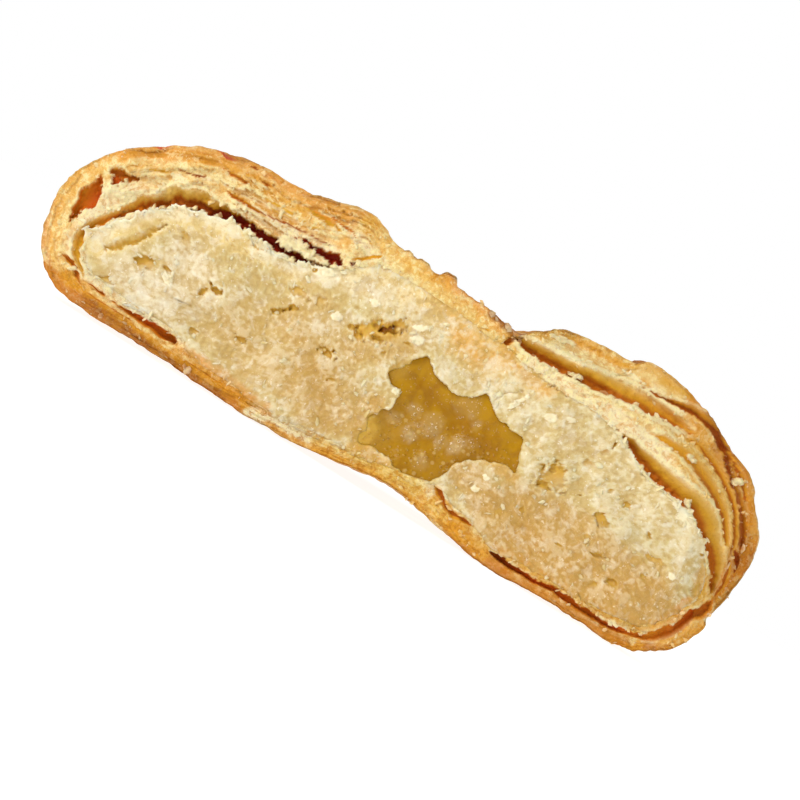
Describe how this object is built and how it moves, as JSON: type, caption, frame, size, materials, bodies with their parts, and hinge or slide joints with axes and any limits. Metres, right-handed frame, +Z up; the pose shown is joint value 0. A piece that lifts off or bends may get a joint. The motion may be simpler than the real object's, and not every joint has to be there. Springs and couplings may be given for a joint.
{
  "type": "flaky filled pastry half",
  "caption": "Half of a round flaky pastry broken across the middle, with layered baked crust, a pale crumbly filling and an amber sticky centre.",
  "frame": {"origin": "centre of the bounding box on the ground, under the middle of the half cake", "axes": "+X along the break, towards the end with the loose outer layers; +Y from the torn face back to the whole rim; +Z up"},
  "size_m": [0.0844, 0.043, 0.028],
  "materials": {
    "baked_crust": "golden baked flaky dough, satin to dry",
    "pale_filling": "pale cream crumb, dry with damp grains",
    "amber_core": "sticky amber paste, glossy"
  },
  "bodies": {
    "root": {"crust": "baked_crust", "filling": "pale_filling", "core": "amber_core"}
  },
  "joints": []
}
